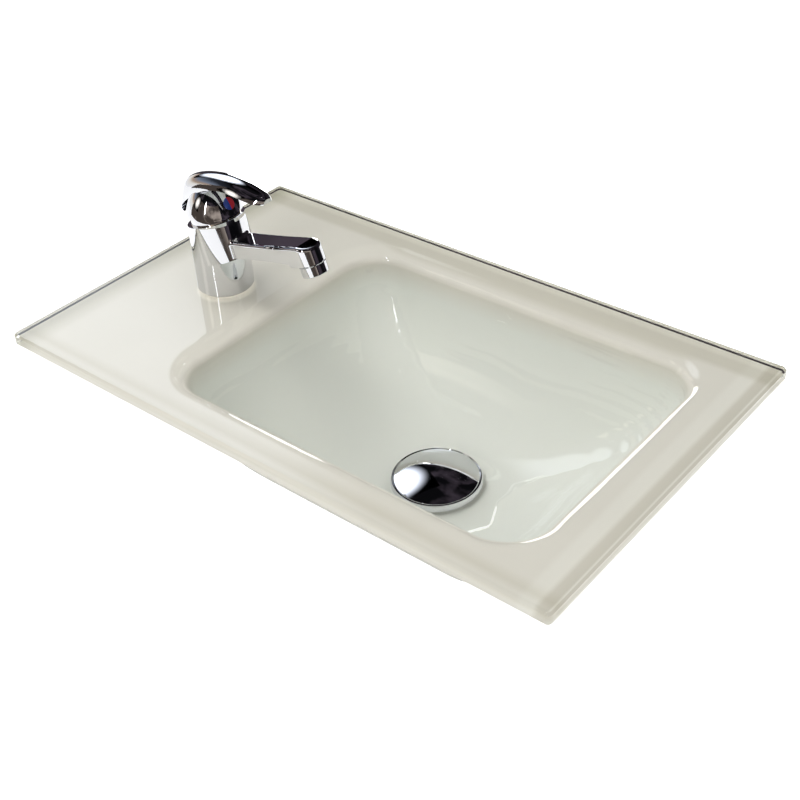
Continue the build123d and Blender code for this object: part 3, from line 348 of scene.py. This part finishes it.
shape = bmesh.new()
top_edge, top_tap, top_drain = bowl_skin(shape, 0, TOP, RIM_ROLL, TAP_HOLE, DRAIN_HOLE)
back_edge, back_tap, back_drain = bowl_skin(
    shape, WALL - BACK_GAP, UNDERSIDE + BACK_GAP, BACK_ROLL + BACK_GAP, TAP_HOLE, DRAIN_HOLE, LACQUERED)
upper_edge, lower_edge = (
    round_ring(shape, SLAB_MIDDLE, HALF_LENGTH, HALF_WIDTH, SLAB_CORNER, z)
    for z in (TOP - ARRIS, UNDERSIDE + ARRIS))
join_rings(shape, top_edge, upper_edge)
join_rings(shape, upper_edge, lower_edge)
join_rings(shape, lower_edge, back_edge)
join_rings(shape, top_tap, back_tap, LACQUERED)
join_rings(shape, top_drain, back_drain, LACQUERED)
basin = smooth_object(shape, "basin_glass", glass, lacquer_seen)
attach(basin, "basin")
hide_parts("glass_basin")

# Lacquer: two coats rolled on the back of the glass and stoved, matt behind with the roller's fine orange
# peel. It stops at the ground arris and leaves bare rings where the mixer and the waste clamp. Its near side
# is drawn a hair off the glass, so that the two surfaces don't flicker through each other.
TAP_BARE = 25 * MM
DRAIN_BARE = 36 * MM
LACQUER = slab_low.z - coat_low.z
SKIN_GAP = 0.1 * MM
PEEL = 1.4 * MM
BACK_CLOUD = 35 * MM
lacquer_back = new_material("rolled lacquer back")
place = add_node(lacquer_back, "ShaderNodeTexCoord")
peel = add_node(lacquer_back, "ShaderNodeTexNoise", {"Scale": 1 / PEEL, "Detail": 2.0}, {
    "Vector": place.outputs["Object"]})
peel_bump = add_node(lacquer_back, "ShaderNodeBump", {"Strength": 0.35, "Distance": 0.06 * MM}, {
    "Height": peel.outputs["Fac"]})
cloud = add_node(lacquer_back, "ShaderNodeTexNoise", {"Scale": 1 / BACK_CLOUD, "Detail": 4.0}, {
    "Vector": place.outputs["Object"]})
coat = add_node(lacquer_back, "ShaderNodeMix", {
    "data_type": "RGBA", 6: linear("#D3D0C5"), 7: linear("#DEDBD0")}, {0: cloud.outputs["Fac"]})
paint = add_node(lacquer_back, "ShaderNodeBsdfPrincipled", {"Roughness": 0.55}, {
    "Base Color": coat.outputs[2], "Normal": peel_bump.outputs["Normal"]})
add_node(lacquer_back, "ShaderNodeOutputMaterial", None, {"Surface": paint.outputs[0]})

shape = bmesh.new()
near = bowl_skin(shape, WALL + SKIN_GAP, UNDERSIDE - SKIN_GAP, BACK_ROLL - SKIN_GAP, TAP_BARE, DRAIN_BARE)
far = bowl_skin(shape, WALL + LACQUER, UNDERSIDE - LACQUER, BACK_ROLL - LACQUER, TAP_BARE, DRAIN_BARE)
for near_ring, far_ring in zip(near, far):
    join_rings(shape, near_ring, far_ring)
lacquer_coat = smooth_object(shape, "lacquer_coat", lacquer_back)
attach(lacquer_coat, "basin")
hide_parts("back_lacquer")


# Waste: a turned brass body with its flange in the bowl, plated bright. A gasket lies under the flange, and
# below the glass a tapered seal, a slippery washer and a brass back nut pull it down on the drain hole.

def dress(material, *names):
    """Gives these CAD nodes this material and no other."""
    for name in names:
        nodes[name].data.materials.clear()
        nodes[name].data.materials.append(material)


# Polished chrome plating: a mirror, faintly blue, with wipe marks that haze it unevenly and the slight waves
# that the buffing wheel leaves. Both are drawn wide enough to show.
WIPE_MARK = 9 * MM
BUFFING_WAVE = 14 * MM
chrome = new_material("polished chrome plating")
place = add_node(chrome, "ShaderNodeTexCoord")
wipe = add_node(chrome, "ShaderNodeTexNoise", {"Scale": 1 / WIPE_MARK, "Detail": 4.0}, {
    "Vector": place.outputs["Object"]})
haze = add_node(chrome, "ShaderNodeMapRange", {
    "From Min": 0.35, "From Max": 0.75, "To Min": 0.02, "To Max": 0.07}, {"Value": wipe.outputs["Fac"]})
wheel_waves = add_node(chrome, "ShaderNodeTexNoise", {"Scale": 1 / BUFFING_WAVE, "Detail": 1.0}, {
    "Vector": place.outputs["Object"]})
buffed = add_node(chrome, "ShaderNodeBump", {"Strength": 0.1, "Distance": 0.05 * MM}, {
    "Height": wheel_waves.outputs["Fac"]})
metal = add_node(chrome, "ShaderNodeBsdfPrincipled", {"Base Color": linear("#E3E4E8"), "Metallic": 1.0}, {
    "Roughness": haze.outputs[0], "Normal": buffed.outputs["Normal"]})
add_node(chrome, "ShaderNodeOutputMaterial", None, {"Surface": metal.outputs[0]})
dress(chrome, "waste_body")


def moulded(name, grain, detail, dark, light, strength, depth, roughness):
    """Stuff out of a mould: one fine grain gives it two shades and a slight relief."""
    material = new_material(name)
    place = add_node(material, "ShaderNodeTexCoord")
    speckle = add_node(material, "ShaderNodeTexNoise", {"Scale": 1 / grain, "Detail": detail}, {
        "Vector": place.outputs["Object"]})
    shade = add_node(material, "ShaderNodeMix", {
        "data_type": "RGBA", 6: linear(dark), 7: linear(light)}, {0: speckle.outputs["Fac"]})
    relief = add_node(material, "ShaderNodeBump", {"Strength": strength, "Distance": depth}, {
        "Height": speckle.outputs["Fac"]})
    skin = add_node(material, "ShaderNodeBsdfPrincipled", {"Roughness": roughness}, {
        "Base Color": shade.outputs[2], "Normal": relief.outputs["Normal"]})
    add_node(material, "ShaderNodeOutputMaterial", None, {"Surface": skin.outputs[0]})
    return material


# Nitrile rubber, pressed: black, dull, with a fine dusty grain.
rubber = moulded(
    "pressed nitrile rubber", grain=0.5 * MM, detail=3.0, dark="#191919", light="#333231",
    strength=0.4, depth=0.03 * MM, roughness=0.65)
dress(rubber, "waste_flange_gasket", "waste_lower_seal")

# Acetal, moulded: milky white, with a satin surface off the mould.
acetal = moulded(
    "moulded acetal", grain=0.8 * MM, detail=2.0, dark="#E3E3DF", light="#EEEEEB",
    strength=0.2, depth=0.02 * MM, roughness=0.4)
dress(acetal, "waste_slip_washer")

# Brass, turned: yellow, with the tool's rings round the piece's own axis, drawn 0.8 mm apart to show.
TOOL_RINGS = 0.8 * MM
TARNISH = 5 * MM


def turned_brass(*pieces):
    """Dresses each of these CAD nodes in brass whose rings are centred on it."""
    for piece in pieces:
        brass = new_material("turned brass " + piece)
        low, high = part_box(piece)
        place = add_node(brass, "ShaderNodeTexCoord")
        centred = add_node(brass, "ShaderNodeMapping", {
            "vector_type": "POINT", "Location": (-(low.x + high.x) / 2, -(low.y + high.y) / 2, 0)}, {
            "Vector": place.outputs["Object"]})
        rings = add_node(brass, "ShaderNodeTexWave", {
            "wave_type": "RINGS", "rings_direction": "Z", "Scale": wave_scale(TOOL_RINGS),
            "Distortion": 0.4}, {"Vector": centred.outputs["Vector"]})
        cut = add_node(brass, "ShaderNodeBump", {"Strength": 0.25, "Distance": 0.03 * MM}, {
            "Height": rings.outputs["Fac"]})
        tarnish = add_node(brass, "ShaderNodeTexNoise", {"Scale": 1 / TARNISH, "Detail": 4.0}, {
            "Vector": place.outputs["Object"]})
        tone = add_node(brass, "ShaderNodeMix", {
            "data_type": "RGBA", 6: linear("#C09B52"), 7: linear("#D9BC78")}, {0: tarnish.outputs["Fac"]})
        metal = add_node(brass, "ShaderNodeBsdfPrincipled", {"Metallic": 1.0, "Roughness": 0.28}, {
            "Base Color": tone.outputs[2], "Normal": cut.outputs["Normal"]})
        add_node(brass, "ShaderNodeOutputMaterial", None, {"Surface": metal.outputs[0]})
        dress(brass, piece)


turned_brass("waste_back_nut")

# Click mechanism: a spring under the plug's stem and a latch ring that turns a step at each press hold the
# plug up or down. The cap over it is pressed brass, plated bright, and closes the bowl on a rubber ring.
dress(chrome, "plug_cap")
dress(rubber, "plug_seal")
dress(acetal, "click_barrel", "click_latch_ring")

# Stainless steel, drawn: grey, with fine lines along the length of the wire or bar.
DRAWN_LINE = 0.4 * MM
DRAWN_OUT = 25  # how many times a line is as long as it is wide
steel = new_material("drawn stainless steel")
place = add_node(steel, "ShaderNodeTexCoord")
stretched = add_node(steel, "ShaderNodeMapping", {"vector_type": "POINT", "Scale": (1, 1, 1 / DRAWN_OUT)}, {
    "Vector": place.outputs["Object"]})
lines = add_node(steel, "ShaderNodeTexNoise", {"Scale": 1 / DRAWN_LINE, "Detail": 2.0}, {
    "Vector": stretched.outputs["Vector"]})
drawn = add_node(steel, "ShaderNodeBump", {"Strength": 0.25, "Distance": 0.02 * MM}, {
    "Height": lines.outputs["Fac"]})
dull = add_node(steel, "ShaderNodeMapRange", {"To Min": 0.2, "To Max": 0.38}, {"Value": lines.outputs["Fac"]})
metal = add_node(steel, "ShaderNodeBsdfPrincipled", {"Base Color": linear("#BFC0C2"), "Metallic": 1.0}, {
    "Roughness": dull.outputs[0], "Normal": drawn.outputs["Normal"]})
add_node(steel, "ShaderNodeOutputMaterial", None, {"Surface": metal.outputs[0]})
dress(steel, "click_spring", "plug_stem")

# Mixer body: a brass casting with its spout, ground, polished and plated, which stands on a rubber seal.
dress(chrome, "tap_body")
dress(rubber, "tap_base_seal")

# Aerator: a plated collar screwed into the spout's nose, with its white flow insert and a gasket behind.
dress(chrome, "aerator_collar")
dress(acetal, "aerator_insert")
dress(rubber, "aerator_gasket")

# Cartridge: a moulded housing with two lapped ceramic discs, held down by a brass ring nut. The fixed disc
# has the ports, and the lever's spindle slides and turns the other one over them.
dress(rubber, "cartridge_base_seals")
dress(steel, "pivot_pin")
turned_brass("cartridge_nut", "lever_spindle")

# Glass-filled nylon, moulded: dark grey and dull, with pale flecks where fibres lie at the surface.
nylon = moulded(
    "glass-filled nylon", grain=0.6 * MM, detail=5.0, dark="#3F4145", light="#5C5E63",
    strength=0.3, depth=0.03 * MM, roughness=0.5)
dress(nylon, "cartridge_base", "cartridge_housing", "cartridge_rotor", "disc_carrier")

# Alumina, lapped: ivory and smooth, with the grey smear that lapping leaves.
SMEAR = 3 * MM
alumina = new_material("lapped alumina")
place = add_node(alumina, "ShaderNodeTexCoord")
smear = add_node(alumina, "ShaderNodeTexNoise", {"Scale": 1 / SMEAR, "Detail": 5.0}, {
    "Vector": place.outputs["Object"]})
tone = add_node(alumina, "ShaderNodeMix", {
    "data_type": "RGBA", 6: linear("#DDD8CC"), 7: linear("#F2EFE8")}, {0: smear.outputs["Fac"]})
lapped = add_node(alumina, "ShaderNodeMapRange", {"To Min": 0.15, "To Max": 0.35}, {
    "Value": smear.outputs["Fac"]})
fired = add_node(alumina, "ShaderNodeBsdfPrincipled", {"IOR": 1.76}, {
    "Base Color": tone.outputs[2], "Roughness": lapped.outputs[0]})
add_node(alumina, "ShaderNodeOutputMaterial", None, {"Surface": fired.outputs[0]})
dress(alumina, "fixed_disc", "moving_disc")

# Lever: a plated zinc casting, a drum with a strap that sweeps over it, held on the spindle by a grub screw
# behind its two-colour plug. The domed cover under it hides the cartridge nut.
dress(chrome, "lever", "neck_cover")
dress(steel, "grub_screw")

# Acrylic plug, moulded in two colours: glossy, blue on the side that gives cold water and red on the other.
plug = new_material("two-colour acrylic")
place = add_node(plug, "ShaderNodeTexCoord")
position = add_node(plug, "ShaderNodeSeparateXYZ", None, {0: place.outputs["Object"]})
is_red = add_node(plug, "ShaderNodeMath", {"operation": "GREATER_THAN", 1: 0.0}, {0: position.outputs["Y"]})
halves = add_node(plug, "ShaderNodeMix", {
    "data_type": "RGBA", 6: linear("#2B3F86"), 7: linear("#A62C36")}, {0: is_red.outputs[0]})
gloss = add_node(plug, "ShaderNodeBsdfPrincipled", {"Roughness": 0.12, "IOR": 1.49}, {
    "Base Color": halves.outputs[2]})
add_node(plug, "ShaderNodeOutputMaterial", None, {"Surface": gloss.outputs[0]})
dress(plug, "indicator_plug")

# Fixing: a threaded stud into the body's foot, and under the glass a rubber and a steel horseshoe washer with
# a brass nut.
dress(steel, "mounting_stud", "horseshoe_steel_washer")
dress(rubber, "horseshoe_rubber_washer")
turned_brass("stud_nut")


# Studio lamps: lit cloths in plain frames. The camera sees none of them, but polished metal and glass mirror
# all except the one above.

def unseen_by(thing, *kinds):
    """Hides a studio object from these kinds of ray: camera, diffuse, glossy, transmission, shadow."""
    for kind in kinds:
        setattr(thing, "visible_" + kind, False)


def card(name, centre, facing, wide, tall, material):
    """A flat rectangle of the studio that looks at a point."""
    shape = bmesh.new()
    shape.faces.new([
        shape.verts.new((x * wide / 2, y * tall / 2, 0)) for x, y in ((-1, -1), (1, -1), (1, 1), (-1, 1))])
    thing = new_object(shape, name, material)
    aim = (Vector(facing) - Vector(centre)).to_track_quat("Z", "Y")
    thing.matrix_world = Matrix.Translation(centre) @ aim.to_matrix().to_4x4()
    return thing


def lamp(name, centre, wide, tall, tint, strength, core, facing=(0, 0, 0)):
    """A lit cloth, as bright as its strength in its core, a share of its half width, and dark at its rim."""
    lit_cloth = new_material(name + " cloth")
    place = add_node(lit_cloth, "ShaderNodeTexCoord")
    scaled = add_node(lit_cloth, "ShaderNodeMapping", {
        "vector_type": "POINT", "Scale": (2 / wide, 2 / tall, 1)}, {"Vector": place.outputs["Object"]})
    out = add_node(lit_cloth, "ShaderNodeVectorMath", {"operation": "LENGTH"}, {0: scaled.outputs["Vector"]})
    fall = add_node(lit_cloth, "ShaderNodeMapRange", {
        "interpolation_type": "SMOOTHSTEP", "From Min": core, "From Max": 1.0,
        "To Min": strength, "To Max": 0.0}, {"Value": out.outputs["Value"]})
    side = add_node(lit_cloth, "ShaderNodeNewGeometry")
    lit_side = add_node(lit_cloth, "ShaderNodeMix", {"data_type": "FLOAT", 3: 0.0}, {
        0: side.outputs["Backfacing"], 2: fall.outputs[0]})
    glow = add_node(lit_cloth, "ShaderNodeEmission", {"Color": linear(tint)}, {
        "Strength": lit_side.outputs[0]})
    add_node(lit_cloth, "ShaderNodeOutputMaterial", None, {"Surface": glow.outputs[0]})
    thing = card(name, centre, facing, wide, tall, lit_cloth)
    unseen_by(thing, "camera")
    return thing


# A wide one on the left, whose image is the sheen on the deck and the pale patches on polished metal.
lamp("key_light", (-1.40, 0.55, 1.17), wide=1.4, tall=1.4, tint="#EEF4FF", strength=2.5, core=0.45)

# A narrow strip in front draws the thin lines down the column and the bowl's walls.
lamp("front_strip", (0.0, -1.25, 0.80), wide=0.08, tall=0.95, tint="#FFFFFF", strength=30.0, core=0.6)

# A faint warm one in front on the left, and a low window behind on the left that the spout's top mirrors.
lamp("side_light", (-0.95, -1.05, 0.75), wide=0.7, tall=0.9, tint="#FFF8EE", strength=1.8, core=0.1)
lamp("low_window", (-1.156, 1.284, 0.09), wide=0.45, tall=1.15, tint="#FFFFFF", strength=6.0, core=0.85)

# A broad one above lights the deck and the bowl, and nothing mirrors it.
top_light = lamp(
    "top_light", (-0.4, -0.25, 1.8), wide=1.6, tall=1.3, tint="#FFFFFF", strength=7.0, core=0.25,
    facing=(-0.05, 0, 0))
unseen_by(top_light, "glossy")


# Room: cloth hung round the studio, dark above and paler in front, which only gloss mirrors. It stops short
# of the floor, so that polished metal also has a pale horizon.
WALL_STEPS = 48


def wall_cloth(name, dark, light, patch):
    """Cloth with paler patches, this many metres across, that give polished metal something to mirror."""
    material = new_material(name)
    place = add_node(material, "ShaderNodeTexCoord")
    patches = add_node(material, "ShaderNodeTexNoise", {
        "Scale": 1 / patch, "Detail": 3.0, "Distortion": 0.6}, {"Vector": place.outputs["Object"]})
    steps = add_node(material, "ShaderNodeMapRange", {"From Min": 0.48, "From Max": 0.68}, {
        "Value": patches.outputs["Fac"]})
    shade = add_node(material, "ShaderNodeMix", {
        "data_type": "RGBA", 6: linear(dark), 7: linear(light)}, {0: steps.outputs[0]})
    cloth = add_node(material, "ShaderNodeEmission", {"Strength": 1.0}, {"Color": shade.outputs[2]})
    add_node(material, "ShaderNodeOutputMaterial", None, {"Surface": cloth.outputs[0]})
    return material


def hang_wall(name, material, radius, compass, rise):
    """A strip of cloth between two compass angles (0 is +Y, 90 is +X) and two angles above the horizon."""
    shape = bmesh.new()
    columns = []
    for step in range(WALL_STEPS + 1):
        turn = radians(compass[0] + (compass[1] - compass[0]) * step / WALL_STEPS)
        column = []
        for angle in (rise[0], (rise[0] + rise[1]) / 2, rise[1]):
            out = radius * cos(radians(angle))
            column.append(shape.verts.new((out * sin(turn), out * cos(turn), radius * sin(radians(angle)))))
        columns.append(column)
    for left, right in zip(columns, columns[1:]):
        for level in (0, 1):
            shape.faces.new((left[level], right[level], right[level + 1], left[level + 1]))
    wall = new_object(shape, name, material)
    unseen_by(wall, "camera", "diffuse", "shadow", "transmission")


black_cloth = wall_cloth("black cloth", dark="#0D0D0F", light="#4A424A", patch=0.9)
brown_cloth = wall_cloth("brown cloth", dark="#4A423D", light="#B0A398", patch=1.8)
hang_wall("dark_back", black_cloth, radius=3.0, compass=(-68, 110), rise=(-6, 88))
hang_wall("dark_front", brown_cloth, radius=3.05, compass=(110, 240), rise=(-6, 40))
hang_wall("dark_ceiling", black_cloth, radius=3.2, compass=(110, 300), rise=(36, 88))

# On the left, behind the wide lamp, the cloth grows from white at the floor to black overhead.
DUSK_HEIGHT = 2.4
dusk_cloth = new_material("shaded cloth")
place = add_node(dusk_cloth, "ShaderNodeTexCoord")
position = add_node(dusk_cloth, "ShaderNodeSeparateXYZ", None, {0: place.outputs["Object"]})
rise = add_node(dusk_cloth, "ShaderNodeMapRange", {"From Min": 0.0, "From Max": DUSK_HEIGHT}, {
    "Value": position.outputs["Z"]})
dusk = add_node(dusk_cloth, "ShaderNodeValToRGB", None, {0: rise.outputs[0]})
set_stops(dusk, (
    (0.0, "#FFFFFF"), (0.22, "#F4EEE4"), (0.34, "#B39C88"),
    (0.5, "#7F8898"), (0.7, "#2C3038"), (1.0, "#0D0D0F")))
cloth = add_node(dusk_cloth, "ShaderNodeEmission", {"Strength": 1.0}, {"Color": dusk.outputs["Color"]})
add_node(dusk_cloth, "ShaderNodeOutputMaterial", None, {"Surface": cloth.outputs[0]})
hang_wall("dusk_left", dusk_cloth, radius=3.1, compass=(-122, -64), rise=(-2, 54))

# Black cloth under the basin, for the rays alone that glass bends, so that its edges show dark lines.
under_card = card(
    "under_card", centre=(0, 0, -0.3), facing=(0, 0, 0), wide=1.2, tall=0.9, material=black_cloth)
unseen_by(under_card, "camera", "diffuse", "glossy", "shadow")

# Floor and air: a pale floor far below that keeps the basin's soft shadow, and white all round. The camera
# and gloss see both brighter than they light the basin.
FLOOR_Z = -0.86
FLOOR_SIDE = 30
floor_paint = new_material("pale floor")
rays = add_node(floor_paint, "ShaderNodeLightPath")
seen = add_node(floor_paint, "ShaderNodeMath", {"operation": "MAXIMUM"}, {
    0: rays.outputs["Is Camera Ray"], 1: rays.outputs["Is Glossy Ray"]})
matt = add_node(floor_paint, "ShaderNodeBsdfDiffuse", {"Color": linear("#F2F2F0")})
glow = add_node(floor_paint, "ShaderNodeEmission", {"Color": linear("#FFFFFF"), "Strength": 0.65})
added = add_node(floor_paint, "ShaderNodeAddShader", None, {0: matt.outputs[0], 1: glow.outputs[0]})
pale = add_node(floor_paint, "ShaderNodeMixShader", None, {
    0: seen.outputs[0], 1: matt.outputs[0], 2: added.outputs[0]})
add_node(floor_paint, "ShaderNodeOutputMaterial", None, {"Surface": pale.outputs[0]})
card("floor", (0, 0, FLOOR_Z), facing=(0, 0, 1), wide=FLOOR_SIDE, tall=FLOOR_SIDE, material=floor_paint)

world = bpy.data.worlds.new("studio")
world.use_nodes = True
world.node_tree.nodes.clear()
rays = add_node(world, "ShaderNodeLightPath")
straight = add_node(world, "ShaderNodeMath", {"operation": "MAXIMUM"}, {
    0: rays.outputs["Is Camera Ray"], 1: rays.outputs["Is Glossy Ray"]})
seen = add_node(world, "ShaderNodeMath", {"operation": "MAXIMUM"}, {
    0: straight.outputs[0], 1: rays.outputs["Is Transmission Ray"]})
brightness = add_node(world, "ShaderNodeMapRange", {"To Min": 0.6, "To Max": 1.0}, {"Value": seen.outputs[0]})
air = add_node(world, "ShaderNodeBackground", {"Color": linear("#FFFFFF")}, {
    "Strength": brightness.outputs[0]})
add_node(world, "ShaderNodeOutputWorld", None, {"Surface": air.outputs[0]})
scene.world = world
scene.view_settings.view_transform = "Standard"

# Camera: where the photograph was taken from, found from the slab's four corners.
CAMERA_YAW = radians(-41.5485)
CAMERA_PITCH = radians(36.5450)
CAMERA_ROLL = radians(-3.5357)
CAMERA_PLACE = Vector((0.526357, -0.577992, 0.542331))
LENS = 57.3623  # focal length in millimetres
ahead = Vector((
    sin(CAMERA_YAW) * cos(CAMERA_PITCH), cos(CAMERA_YAW) * cos(CAMERA_PITCH), -sin(CAMERA_PITCH)))
level = Vector((cos(CAMERA_YAW), -sin(CAMERA_YAW), 0))
upright = level.cross(ahead)
right = level * cos(CAMERA_ROLL) + upright * sin(CAMERA_ROLL)
up = upright * cos(CAMERA_ROLL) - level * sin(CAMERA_ROLL)
camera = bpy.data.objects.new("camera", bpy.data.cameras.new("camera"))
scene.collection.objects.link(camera)
camera.matrix_world = Matrix((
    (right.x, up.x, -ahead.x, CAMERA_PLACE.x),
    (right.y, up.y, -ahead.y, CAMERA_PLACE.y),
    (right.z, up.z, -ahead.z, CAMERA_PLACE.z),
    (0, 0, 0, 1)))
camera.data.lens = LENS
scene.camera = camera
